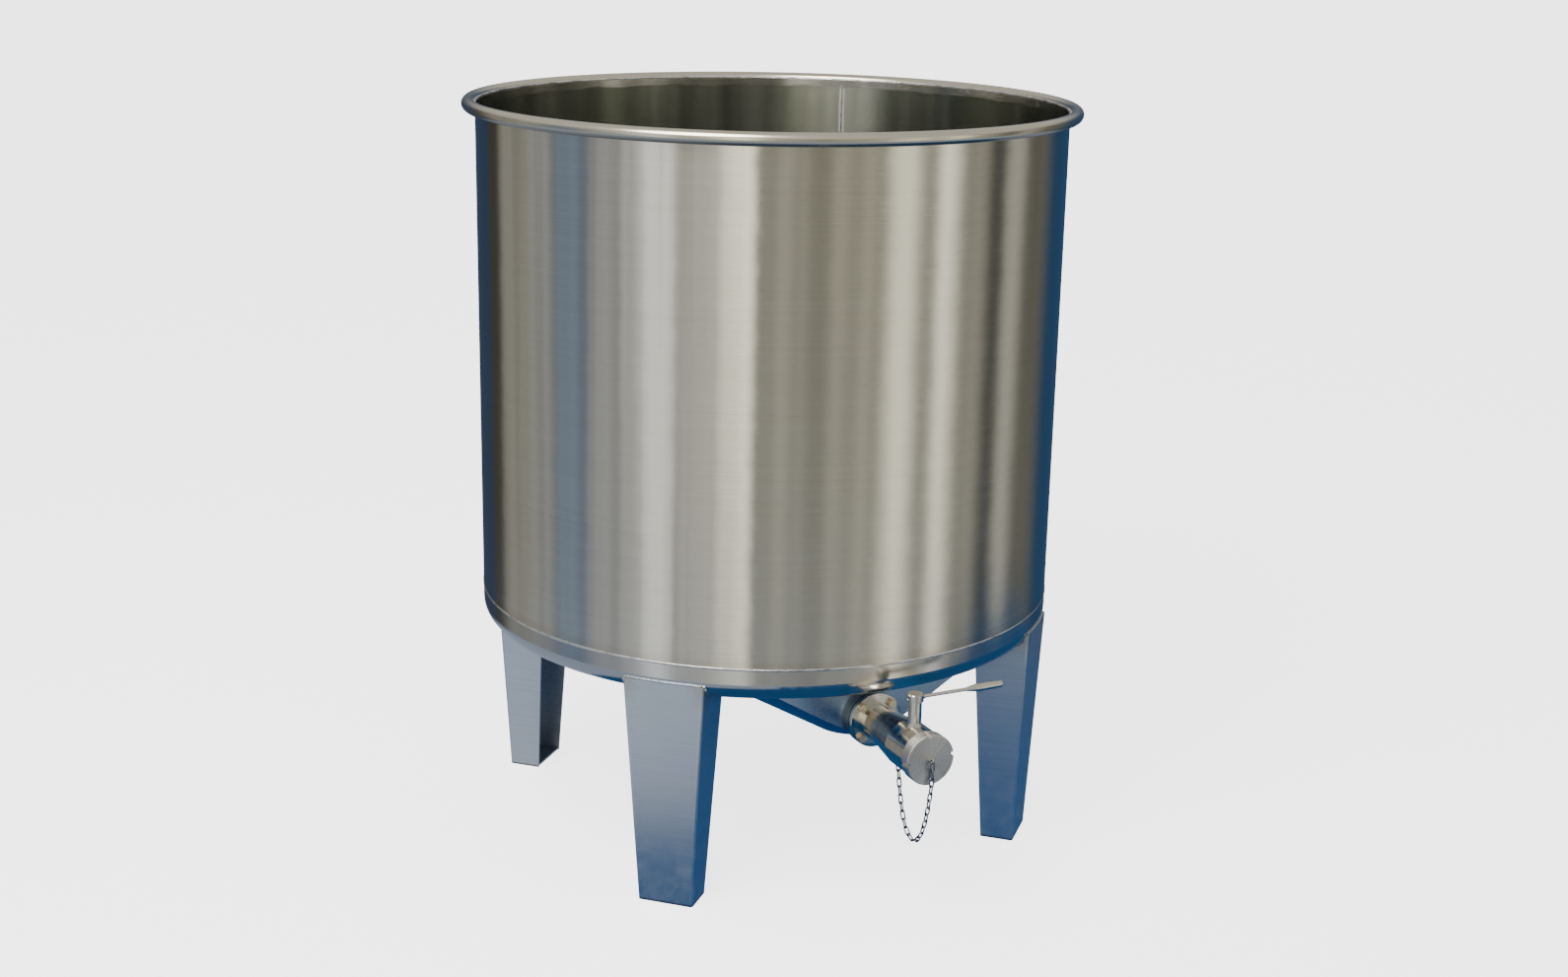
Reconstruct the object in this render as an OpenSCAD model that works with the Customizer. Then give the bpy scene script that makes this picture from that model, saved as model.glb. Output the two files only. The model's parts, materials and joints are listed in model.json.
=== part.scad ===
// Open-topped milk tank on four sheet legs, with an outlet valve, lever and chained blank nut.
// Millimetres. Z up, floor at z = 0, tank axis on the Z axis, outlet pointing to -Y.

/* [Tank] */
// Outside diameter of the shell
tank_d = 1000; // [600:1:1600]
// Sheet thickness of shell and bottom
sheet_t = 2; // [1.5:0.1:4]
// Height of the seam between shell and bottom above the floor
seam_z = 425; // [360:1:600]
// Height of the shell sheet
shell_h = 832; // [400:1:1400]
// Diameter of the rim tube
rim_d = 22; // [16:0.5:32]
// Wall of the rim tube
rim_wall = 1.5; // [1:0.1:3]
// Straight flange of the bottom, below the seam
flange_h = 26; // [10:1:60]
// Knuckle radius of the bottom, outside
knuckle_r = 30; // [20:1:60]
// Direction of the shell's upright seam, from +X towards +Y
seam_angle = 49; // [0:1:80]

/* [Sump] */
// Sump circle at the bottom plate: step of its front inside the shell's outside
sump_edge_in = 5; // [2:1:40]
// Sump circle at the bottom plate: radius
sump_top_r = 258; // [180:1:260]
// Radius of the sump's flat floor
sump_low_r = 65; // [50:1:90]
// Depth of the sump below the bottom plate
sump_depth = 98; // [92:1:130]
// Step of the sump's flat front inside the shell's outside
front_in = 85; // [70:1:140]

/* [Legs] */
// Angle of the legs from the outlet direction
leg_angle = 45; // [35:1:60]
// Turn of all four legs against the outlet, towards +X in front
leg_turn = 1; // [-3:0.5:3]
// Leg sheet thickness
leg_t = 3; // [2:0.5:5]
// Outside bend radius of the leg
leg_bend = 5; // [4:0.5:8]
// Width of the leg's outer face at the top
leg_w_top = 139; // [100:1:180]
// Width of the leg's outer face at the floor
leg_w_low = 95; // [70:1:130]
// Depth of the leg's sides at the top
leg_d_top = 95; // [70:1:120]
// Depth of the leg's sides at the floor
leg_d_low = 57.5; // [40:1:90]
// Step of the leg's outer face inside the shell's outside, at the top
leg_in_top = 0.5; // [0:0.5:15]
// Step of the leg's outer face inside the shell's outside, at the floor
leg_in_low = 15; // [4:0.5:40]
// Drop of the leg's straight top edge below the bottom's straight flange
leg_drop = 7; // [4:0.5:12]
// Thickness of the foot plates
foot_t = 4; // [3:0.5:8]

/* [Outlet] */
// Distance of the outlet axis below the bottom plate
axis_drop = 67; // [60:1:80]
// Outside diameter of the outlet pipe
pipe_d = 51; // [38:0.1:63.5]
// Wall of the outlet pipe
pipe_wall = 1.2; // [1:0.1:2]
// Diameter of both flanges
fl_d = 93; // [90:0.5:110]
// Thickness of the tapped flange on the tank
fl_tank_t = 10; // [8:0.5:14]
// Thickness of the valve's flange
fl_valve_t = 8; // [6:0.5:12]
// Thickness of the flat gasket between the flanges
gasket_t = 1.5; // [1:0.1:3]
// Bolt circle of the flanges
bolt_circle = 75; // [72:0.5:84]
// Bolt thread diameter
bolt_d = 8; // [6:1:8]

/* [Valve] */
// Distance from the flange joint to the stem axis
stem_reach = 133.5; // [125:0.5:160]
// Outside diameter of the valve body at the ball
body_d = 79; // [76:0.5:95]
// Diameter of the neck behind the flange
neck_d = 55; // [53:0.5:58]
// Diameter of the ball
ball_d = 62; // [58:0.5:64]
// Port through the ball
port_d = 42; // [34:0.5:44]
// Diameter of the stem
stem_d = 12; // [10:0.5:14]
// Diameter of the post around the stem
post_d = 22; // [19:0.5:26]
// Height of the post's top above the outlet axis
post_h = 78.6; // [70:0.1:100]
// Diameter of the lever hub
hub_d = 27; // [24:0.5:34]
// Height of the lever hub
hub_h = 13; // [12:0.5:20]
// Diameter of the lever rod
rod_d = 6; // [5:0.5:8]
// Where the grip starts, from the stem axis
grip_x = 94; // [50:1:120]
// Length of the grip
grip_l = 65; // [45:1:110]
// Largest diameter of the grip
grip_d = 13.2; // [10:0.1:20]

/* [Cap] */
// Outside diameter of the blank nut
nut_d = 84; // [80:0.5:100]
// Thickness of the blank nut
nut_t = 21; // [18:0.5:30]
// Major diameter of the round thread
thread_d = 60; // [58:0.5:60]
// Length of the male thread in front of the valve body
thread_l = 14; // [12:0.5:16]
// Width of the four spanner slots
slot_w = 8; // [5:0.5:12]
// Depth of the four spanner slots
slot_deep = 5; // [3:0.5:8]
// Wire of the chain links
wire_d = 2; // [1.5:0.1:3]
// Inside length of a chain link
link_in = 13.8; // [10:0.5:18]
// Outside width of a chain link
link_w = 9; // [6:0.5:12]
// Links in the chain
link_n = 23; // [16:1:26]
// Where the chain's anchor sits, from the flange joint
anchor_reach = 85.5; // [75:0.5:100]

/* [Fits] */
// Radial running fit of turning parts
run_fit = 0.05; // [0.02:0.01:0.1]
// Radial gap of fixed parts that slip together
slip_fit = 0.1; // [0.05:0.05:0.3]
// Gap between pieces that pass each other
pass_gap = 0.3; // [0.2:0.05:0.6]

/* [Hidden] */
$fn = 96;

tank_r = tank_d / 2;
inner_r = tank_r - sheet_t;
top_z = seam_z + shell_h;
rim_r = rim_d / 2;
rim_c = tank_r + rim_r + 0.4;
knuckle_z = seam_z - flange_h;
plate_z = knuckle_z - knuckle_r;
leg_top_z = knuckle_z - leg_drop;
leg_angles = [leg_turn - leg_angle, leg_turn + leg_angle,
              leg_turn + 180 - leg_angle, leg_turn + leg_angle - 180];
sump_z = plate_z - sump_depth;
axis_z = plate_z - axis_drop;
front_y = tank_r - front_in;
sump_top_c = tank_r - sump_edge_in - sump_top_r;
sump_low_c = front_y - sump_low_r;
joint_y = front_y + fl_tank_t;
fl_back = joint_y + gasket_t;
fl_front = fl_back + fl_valve_t;
stem_y = fl_back + stem_reach;
bore_r = pipe_d / 2 - pipe_wall;
ball_r = ball_d / 2;
cav_r = ball_r + 2.1;
seat_in = 11;
seat_out = 24;
rear_y = stem_y - seat_out;
step_y = stem_y + seat_out;
spigot_r = 35;
body_end = step_y + 10;
thread_end = body_end + thread_l;
nut_back = body_end + 1;
nut_face = nut_back + nut_t;
cap_gasket_t = 1.5;
nut_floor = thread_end + cap_gasket_t;
post_top = axis_z + post_h;
hub_z = post_top + 0.4;
hub_top = hub_z + hub_h;
rod_z = hub_z + 6;
eye_y = nut_face + 5.5;
eye_r = 3.6;
eye_wire = 2;
anchor_y = fl_back + anchor_reach;
taper_1 = fl_front + 11;
taper_2 = fl_front + 55;
taper_3 = fl_front + 103;
mid_r = 33;
body_r = body_d / 2;
anchor_body_r = mid_r + (body_r - mid_r) * (anchor_y - taper_2) / (taper_3 - taper_2);
anchor_eye_r = 3.6;
anchor_wire = 2.4;
anchor_z = axis_z - anchor_body_r - 5.5;
link_pitch = link_in - 0.5;

// ---- helpers -------------------------------------------------------------

// Puts a revolved profile on the outlet axis, its height running to -Y.
module on_axis(z = axis_z) {
  translate([0, 0, z]) rotate([90, 0, 0]) children();
}

// Ring on the outlet axis between two distances from the tank axis.
module axis_ring(r_out, r_in, y0, y1) {
  on_axis() rotate_extrude() translate([r_in, y0]) square([r_out - r_in, y1 - y0]);
}

// Solid of the bottom down to the flat plate, grown outwards by g.
module dish(g = 0) {
  rotate_extrude($fn = 180) union() {
    translate([0, plate_z - g]) square([tank_r - knuckle_r, seam_z - plate_z + g]);
    translate([0, knuckle_z]) square([tank_r + g, flange_h]);
    intersection() {
      translate([tank_r - knuckle_r, knuckle_z]) circle(r = knuckle_r + g);
      translate([0, plate_z - g]) square([tank_r + g, knuckle_r + g]);
    }
  }
}

module sump_body(g, z_top) {
  intersection() {
    hull() {
      translate([0, -sump_top_c, plate_z]) cylinder(r = sump_top_r - g, h = 0.01);
      translate([0, -sump_low_c, sump_z + g]) cylinder(r = sump_low_r - g, h = 0.01);
    }
    translate([-tank_r, g - front_y, 0]) cube([tank_d, tank_d, z_top]);
  }
}

// Outline of a leg as one tapering block; grow widens it, reach lengthens its open side.
module leg_block(grow, bend, reach) {
  module level(w, d, inset, z) {
    y0 = -(tank_r - inset);
    for (s = [-1, 1]) {
      translate([s * (w / 2 - leg_bend), y0 + leg_bend, z])
        cylinder(r = bend, h = 0.01, $fn = 40);
      translate([s * (w / 2 + grow) - (s + 1) / 2, y0 + d - 1 + reach, z]) cube([1, 1, 0.01]);
    }
  }
  hull() {
    level(leg_w_low, leg_d_low, leg_in_low, 0);
    level(leg_w_top, leg_d_top, leg_in_top, leg_top_z - 0.01);
  }
}

// Corner taken off each side's inner top edge, so the leg clears the sump.
module leg_relief() {
  translate([-tank_r, -(tank_r - leg_in_top - leg_d_top), plate_z])
    rotate([45, 0, 0]) translate([0, -14, -14]) cube([tank_d, 28, 28]);
}

module leg() {
  difference() {
    leg_block(0, leg_bend, 0);
    translate([0, 0, -1]) scale([1, 1, 1.01]) leg_block(-leg_t, leg_bend - leg_t, 60);
    dish(0.05);
    leg_relief();
  }
}

module leg_at(a) {
  rotate([0, 0, a]) children();
}

// Chain curve: a straight drop in front of the nut, then a free hang to the anchor.
drop_l = 3 * link_pitch;
link_reach = (link_in + wire_d) / 2;
link_s0 = link_reach + anchor_eye_r - anchor_wire / 2 - wire_d / 2 - pass_gap;
link_s1 = link_reach + eye_r - eye_wire / 2 - wire_d / 2 - pass_gap;
hang_y0 = anchor_y;
hang_z0 = anchor_z;
hang_y1 = eye_y;
hang_z1 = axis_z - drop_l;
hang_l = link_s0 + (link_n - 1) * link_pitch + link_s1 - drop_l;
hang_w = hang_y1 - hang_y0;
hang_v = hang_z1 - hang_z0;
function sinh_(x) = (exp(x) - exp(-x)) / 2;
function cosh_(x) = (exp(x) + exp(-x)) / 2;
function asinh_(x) = ln(x + sqrt(x * x + 1));
span = sqrt(hang_l * hang_l - hang_v * hang_v);
function solve(lo, hi, n) = n == 0 ? (lo + hi) / 2 :
  2 * (lo + hi) / 2 * sinh_(hang_w / (lo + hi)) > span ?
  solve((lo + hi) / 2, hi, n - 1) : solve(lo, (lo + hi) / 2, n - 1);
cat_a = solve(8, 200, 40);
cat_m = cat_a * asinh_(hang_v / (2 * cat_a * sinh_(hang_w / (2 * cat_a))));
cat_y = (hang_y0 + hang_y1) / 2 - cat_m;
cat_z = hang_z0 - cat_a * cosh_((hang_y0 - cat_y) / cat_a);
cat_s0 = cat_a * sinh_((hang_y0 - cat_y) / cat_a);
// Point on the curve at the length s from the anchor, as [distance from tank axis, height].
function on_chain(s) = s > hang_l ? [hang_y1, hang_z1 + s - hang_l] :
  let (y = cat_y + cat_a * asinh_((cat_s0 + s) / cat_a))
  [y, cat_z + cat_a * cosh_((y - cat_y) / cat_a)];

// One link, long axis on Z, lying in the XZ plane.
module link() {
  bend_r = (link_w - wire_d) / 2;
  half = (link_in + wire_d) / 2 - bend_r;
  for (s = [-1, 1]) {
    translate([s * bend_r, 0, -half]) cylinder(d = wire_d, h = 2 * half, $fn = 24);
    translate([0, 0, s * half]) rotate([s * 90, 0, 0])
      rotate_extrude(angle = 180, $fn = 48) translate([bend_r, 0]) circle(d = wire_d, $fn = 24);
  }
}

// ---- tank ----------------------------------------------------------------

module tank_shell() {
  color("silver") translate([0, 0, seam_z]) difference() {
    cylinder(r = tank_r, h = shell_h, $fn = 180);
    translate([0, 0, -1]) cylinder(r = inner_r, h = shell_h + 2, $fn = 180);
  }
}

module rim_tube() {
  color("gainsboro") rotate_extrude($fn = 180) translate([rim_c, top_z]) difference() {
    circle(r = rim_r, $fn = 48);
    circle(r = rim_r - rim_wall, $fn = 48);
  }
}

module rim_weld() {
  color("white") rotate_extrude($fn = 180) difference() {
    union() {
      translate([tank_r + 0.3, top_z + 1.5]) circle(r = 2.2, $fn = 32);
      translate([tank_r + 0.9, top_z - 4.6]) circle(r = 1.7, $fn = 32);
    }
    translate([rim_c, top_z]) circle(r = rim_r + slip_fit, $fn = 48);
    translate([inner_r - 0.05, top_z - 40]) square([sheet_t + 0.1, 40.05]);
  }
}

module shell_seam_weld() {
  color("white") rotate([0, 0, seam_angle]) for (r = [inner_r - 0.55, tank_r + 0.05]) {
    translate([0, 0, seam_z + 3]) rotate_extrude(angle = 0.45, $fn = 180)
      translate([r, 0]) square([0.5, shell_h - 12]);
  }
}

module tank_bottom() {
  color("silver") difference() {
    union() {
      dish();
      sump_body(0, plate_z + 0.01);
    }
    translate([0, 0, 0]) rotate_extrude($fn = 180) union() {
      translate([0, plate_z + sheet_t]) square([tank_r - knuckle_r, seam_z]);
      translate([0, knuckle_z]) square([inner_r, flange_h + 1]);
      intersection() {
        translate([tank_r - knuckle_r, knuckle_z]) circle(r = knuckle_r - sheet_t);
        translate([0, plate_z + sheet_t]) square([tank_r, knuckle_r]);
      }
    }
    sump_inside();
    on_axis() translate([0, 0, front_y - 20]) cylinder(r = pipe_d / 2 + slip_fit, h = 40);
  }
}

// Hollow of the sump: the outer form moved in by the sheet, open through the plate.
module sump_inside() {
  drop = (sump_top_r - sump_low_r) / sump_depth;
  intersection() {
    hull() {
      translate([0, -sump_top_c, plate_z + sheet_t + 1])
        cylinder(r = sump_top_r - sheet_t + drop * 0.2, h = 0.01);
      translate([0, -sump_low_c, sump_z + sheet_t]) cylinder(r = sump_low_r - sheet_t, h = 0.01);
    }
    translate([-tank_r, sheet_t - front_y, 0]) cube([tank_d, tank_d, seam_z]);
    cylinder(r = tank_r - knuckle_r, h = seam_z, $fn = 180);
  }
}

module bottom_weld() {
  color("white") rotate_extrude($fn = 180) {
    translate([tank_r, seam_z - 2]) square([0.6, 4]);
    translate([inner_r - 0.6, seam_z - 2]) square([0.6, 4]);
  }
}

// ---- legs ----------------------------------------------------------------

module leg_front_left() {
  color("lightsteelblue") leg_at(leg_angles[0]) leg();
}

module leg_front_right() {
  color("lightsteelblue") leg_at(leg_angles[1]) leg();
}

module leg_rear_left() {
  color("lightsteelblue") leg_at(leg_angles[3]) leg();
}

module leg_rear_right() {
  color("lightsteelblue") leg_at(leg_angles[2]) leg();
}

// Fillet beads where a leg meets the knuckle: one on its top edge and one along each side.
module leg_welds() {
  bead = 2.5;
  taper = atan((leg_w_top - leg_w_low) / 2 / leg_top_z);
  color("white") for (a = leg_angles) {
    leg_at(a) intersection() {
      union() {
        translate([-leg_w_top / 2 + leg_bend, -tank_r - 2 * bead, leg_top_z + 0.05])
          cube([leg_w_top - 2 * leg_bend, leg_d_top, bead]);
        for (s = [-1, 1]) translate([s * leg_w_low / 2, 0, 0]) rotate([0, s * taper, 0])
          translate([(s - 1) * bead / 2 + s * 0.05, -(tank_r - leg_in_top - leg_bend), plate_z - 10])
          cube([bead, leg_d_top - leg_bend - 16, leg_top_z - plate_z + 9]);
      }
      difference() {
        dish(bead);
        dish(0.05);
      }
    }
  }
}

module foot_plates() {
  w = leg_w_low - 2 * leg_t - 2 * slip_fit;
  y0 = -(tank_r - leg_in_low) + leg_t + slip_fit;
  d = leg_d_low - leg_t - 2;
  color("gray") for (a = leg_angles) {
    leg_at(a) linear_extrude(height = foot_t) polygon([
      [-w / 2 + 3, y0], [w / 2 - 3, y0], [w / 2, y0 + 3], [w / 2, y0 + d],
      [-w / 2, y0 + d], [-w / 2, y0 + 3]]);
  }
}

// ---- outlet --------------------------------------------------------------

module outlet_pipe() {
  color("silver") axis_ring(pipe_d / 2, bore_r, front_y - sheet_t - 3, joint_y);
}

module outlet_weld() {
  color("white") axis_ring(pipe_d / 2 + 2.5, pipe_d / 2 + 0.05,
                           front_y - sheet_t - 2.5, front_y - sheet_t);
}

module flange_holes(d, y0, y1) {
  on_axis() for (a = [45:90:315]) {
    rotate([0, 0, a]) translate([bolt_circle / 2, 0, y0]) cylinder(d = d, h = y1 - y0, $fn = 32);
  }
}

module outlet_flange() {
  color("silver") difference() {
    axis_ring(fl_d / 2, pipe_d / 2 + slip_fit, front_y, joint_y);
    flange_holes(bolt_d + 2 * slip_fit, front_y - 1, joint_y + 1);
  }
}

module flange_gasket() {
  color("whitesmoke") axis_ring(bolt_circle / 2 - 5.2, bore_r + 0.4, joint_y, fl_back);
}

module flange_bolts() {
  grip_y = fl_front + 1.6;
  color("gold") on_axis() for (a = [45:90:315]) {
    rotate([0, 0, a]) translate([bolt_circle / 2, 0, 0]) {
      translate([0, 0, joint_y - fl_tank_t + 1])
        cylinder(d = bolt_d, h = grip_y - joint_y + fl_tank_t - 1, $fn = 32);
      intersection() {
        translate([0, 0, grip_y]) cylinder(d = 15, h = 5.3, $fn = 6);
        translate([0, 0, grip_y]) cylinder(r1 = 9.6, r2 = 6.9, h = 5.3, $fn = 32);
      }
    }
  }
}

module flange_washers() {
  color("lightgray") on_axis() for (a = [45:90:315]) {
    rotate([0, 0, a]) translate([bolt_circle / 2, 0, fl_front]) difference() {
      cylinder(d = 16, h = 1.6, $fn = 32);
      translate([0, 0, -1]) cylinder(d = bolt_d + 0.4, h = 4, $fn = 32);
    }
  }
}

// ---- valve ---------------------------------------------------------------

module body_outside() {
  on_axis() rotate_extrude() polygon([
    [0, fl_back], [fl_d / 2 - 0.6, fl_back], [fl_d / 2, fl_back + 0.6],
    [fl_d / 2, fl_front - 0.6], [fl_d / 2 - 0.6, fl_front], [neck_d / 2, fl_front],
    [neck_d / 2, taper_1], [mid_r, taper_2], [body_r, taper_3],
    [body_r, body_end - 1], [body_r - 1, body_end], [0, body_end]]);
}

module valve_body() {
  color("silver") difference() {
    union() {
      body_outside();
      translate([0, -stem_y, axis_z + ball_r]) cylinder(d = post_d, h = post_h - ball_r);
      translate([0, -stem_y, axis_z + body_r - 4]) cylinder(d1 = post_d + 8, d2 = post_d, h = 8);
    }
    on_axis() rotate_extrude() polygon([
      [0, fl_back - 1], [bore_r, fl_back - 1], [bore_r, rear_y], [cav_r, rear_y],
      [cav_r, step_y], [spigot_r + slip_fit, step_y], [spigot_r + slip_fit, body_end + 1],
      [0, body_end + 1]]);
    flange_holes(bolt_d + 1, fl_back - 1, fl_front + 1);
    translate([0, -stem_y, axis_z + 20]) cylinder(r = stem_d / 2 + run_fit, h = post_h);
    translate([0, -stem_y, axis_z + body_r + 1]) cylinder(r = stem_d / 2 + 2 + slip_fit, h = post_h);
  }
}

module seat(s) {
  y0 = s < 0 ? rear_y : stem_y + seat_in;
  difference() {
    axis_ring(cav_r - slip_fit, port_d / 2 + 1, y0, y0 + seat_out - seat_in);
    translate([0, -stem_y, axis_z]) sphere(r = ball_r + run_fit);
  }
}

module rear_seat() {
  color("whitesmoke") seat(-1);
}

module front_seat() {
  color("whitesmoke") seat(1);
}

module end_piece() {
  g_y = step_y + 3.5;
  color("silver") on_axis() rotate_extrude() polygon([
    [bore_r, step_y], [spigot_r, step_y], [spigot_r, g_y], [spigot_r - 1.8, g_y],
    [spigot_r - 1.8, g_y + 2.2], [spigot_r, g_y + 2.2], [spigot_r, body_end - 0.4],
    [thread_d / 2 - 1, body_end - 0.4], [thread_d / 2 - 1, body_end + 1.5],
    [thread_d / 2, body_end + 2.5], [thread_d / 2, thread_end - 1.2],
    [thread_d / 2 - 1.2, thread_end], [bore_r, thread_end]]);
}

module end_oring() {
  color("black") on_axis() rotate_extrude() translate([spigot_r - 0.85, step_y + 4.6])
    circle(r = 0.9, $fn = 24);
}

module valve_ball() {
  color("gainsboro") translate([0, -stem_y, axis_z]) difference() {
    sphere(r = ball_r);
    rotate([0, 90, 0]) translate([0, 0, -ball_d]) cylinder(d = port_d, h = 2 * ball_d);
    translate([-3.6, -ball_d, ball_r - 7]) cube([7.2, 2 * ball_d, 20]);
  }
}

module valve_stem() {
  groove = [axis_z + body_r + 7, axis_z + post_h - 8];
  color("gainsboro") translate([0, -stem_y, 0]) union() {
    difference() {
      translate([0, 0, axis_z + ball_r - 6.6]) cylinder(d = stem_d, h = post_h - ball_r + 6.6);
      for (s = [-1, 1]) translate([s * 8.5 - 5, -20, axis_z + ball_r - 10]) cube([10, 40, 10.4]);
      for (z = groove) translate([0, 0, z]) difference() {
        cylinder(d = stem_d + 4, h = 2.2);
        translate([0, 0, -1]) cylinder(r = stem_d / 2 - 1.7, h = 5);
      }
    }
    translate([-4, -4, axis_z + post_h - 0.01]) cube([8, 8, hub_h - 3]);
  }
}

module stem_bushing() {
  z0 = axis_z + body_r + 1;
  color("whitesmoke") translate([0, -stem_y, z0]) difference() {
    cylinder(r = stem_d / 2 + 2, h = post_top - z0);
    translate([0, 0, -1]) cylinder(r = stem_d / 2 + run_fit, h = post_h);
  }
}

module stem_orings() {
  color("black") for (z = [axis_z + body_r + 7, axis_z + post_h - 8]) {
    translate([0, -stem_y, z + 1.1]) rotate_extrude()
      translate([stem_d / 2 - 0.85, 0]) circle(r = 0.85, $fn = 24);
  }
}

// ---- lever ---------------------------------------------------------------

module lever_hub() {
  r = hub_d / 2;
  color("silver") translate([0, -stem_y, 0]) difference() {
    translate([0, 0, hub_z]) rotate_extrude() polygon([
      [0, 0], [r - 0.6, 0], [r, 0.6], [r, hub_h - 1.2], [r - 1.2, hub_h], [0, hub_h]]);
    translate([-4.1, -4.1, hub_z - 1]) cube([8.2, 8.2, hub_h - 2]);
    translate([5.5, 0, rod_z]) rotate([0, 90, 0]) cylinder(d = rod_d + 2 * slip_fit, h = hub_d, $fn = 32);
    translate([-hub_d, 0, rod_z]) rotate([0, 90, 0]) cylinder(d = 5.2, h = hub_d - 2, $fn = 32);
  }
}

module hub_screw() {
  color("dimgray") translate([-4.1, -stem_y, rod_z]) rotate([0, -90, 0]) difference() {
    cylinder(d = 5, h = 8, $fn = 32);
    translate([0, 0, 5]) cylinder(d = 2.9, h = 6, $fn = 6);
  }
}

module lever_rod() {
  color("silver") translate([5.8, -stem_y, rod_z]) rotate([0, 90, 0])
    cylinder(d = rod_d, h = grip_x + 16 - 5.8, $fn = 32);
}

module lever_grip() {
  r = grip_d / 2;
  hole = rod_d / 2 + slip_fit;
  color("silver") translate([grip_x, -stem_y, rod_z]) rotate([0, 90, 0]) rotate_extrude() polygon([
    [hole, 0], [rod_d / 2 + 0.6, 0], [r - 0.3, 17], [r, 20], [r - 0.1, 34],
    [r - 1.1, grip_l - 2], [r - 1.9, grip_l - 0.5], [r - 2.8, grip_l], [0, grip_l], [0, 17],
    [hole, 17]]);
}

// ---- blank nut and chain -------------------------------------------------

module cap_nut() {
  r = nut_d / 2;
  color("silver") difference() {
    on_axis() rotate_extrude() polygon([
      [0, nut_face], [r - 1.5, nut_face], [r, nut_face - 1.5], [r, nut_back + 1.5],
      [r - 1.5, nut_back], [thread_d / 2 + slip_fit, nut_back],
      [thread_d / 2 + slip_fit, nut_floor], [0, nut_floor]]);
    on_axis() for (a = [0:90:270]) {
      rotate([0, 0, a + 6]) translate([r - slot_deep, -slot_w / 2, nut_back - 1])
        cube([slot_deep + 5, slot_w, nut_t + 2]);
    }
    on_axis() translate([0, 0, nut_face - 4]) cylinder(r = 2 + run_fit, h = 8, $fn = 32);
    on_axis() translate([0, 0, nut_face - 5]) cylinder(r = 4, h = 2, $fn = 32);
  }
}

module cap_gasket() {
  color("black") axis_ring(thread_d / 2 - 0.6, bore_r + 0.4, thread_end, nut_floor);
}

module cap_eyelet() {
  color("silver") {
    on_axis() rotate_extrude($fn = 48) polygon([
      [0, nut_face - 4.7], [3.6, nut_face - 4.7], [3.6, nut_face - 3.3], [2, nut_face - 3.3],
      [2, nut_face + pass_gap], [3.4, nut_face + pass_gap], [3.4, nut_face + 1.1],
      [1.6, nut_face + 1.9], [0, nut_face + 1.9]]);
    translate([0, -eye_y, axis_z]) rotate([0, link_n % 2 == 0 ? 0 : 90, 0])
      rotate_extrude($fn = 48) translate([eye_r, 0]) circle(d = eye_wire, $fn = 24);
  }
}

module chain_anchor() {
  color("silver") difference() {
    union() {
      translate([0, -anchor_y, anchor_z]) rotate([0, 90, 0])
        rotate_extrude($fn = 48) translate([anchor_eye_r, 0]) circle(d = anchor_wire, $fn = 24);
      translate([0, -anchor_y, anchor_z + anchor_eye_r]) cylinder(d = 5, h = 6, $fn = 32);
    }
    body_outside();
  }
}

module cap_chain() {
  color("lightsteelblue") for (i = [0:link_n - 1]) {
    p = on_chain(link_s0 + (i - 0.5) * link_pitch);
    q = on_chain(link_s0 + (i + 0.5) * link_pitch);
    tilt = atan2(q[0] - p[0], q[1] - p[1]);
    translate([0, -(p[0] + q[0]) / 2, (p[1] + q[1]) / 2]) rotate([tilt, 0, 0])
      rotate([0, 0, i % 2 == 0 ? 0 : 90]) link();
  }
}

tank_shell();
rim_tube();
rim_weld();
shell_seam_weld();
tank_bottom();
bottom_weld();
leg_front_left();
leg_front_right();
leg_rear_left();
leg_rear_right();
leg_welds();
foot_plates();
outlet_pipe();
outlet_weld();
outlet_flange();
flange_gasket();
valve_body();
flange_bolts();
flange_washers();
rear_seat();
front_seat();
end_piece();
end_oring();
valve_ball();
valve_stem();
stem_bushing();
stem_orings();
lever_hub();
hub_screw();
lever_rod();
lever_grip();
cap_nut();
cap_gasket();
cap_eyelet();
chain_anchor();
cap_chain();
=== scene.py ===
# %% [markdown]
# # An open milk tank in stainless steel
# The tank arrives as a packed engineering model: shell, rim, bottom, four sheet legs, an
# outlet valve with its lever, and a blank nut on a chain. Every size is settled there. This
# lesson gives it its looks: brushed and turned steel, rippled weld beads, a real round
# thread and a real chain, lit and seen as in a studio.

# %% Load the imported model
import json
import math
import bpy
from mathutils import Matrix, Vector

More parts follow.
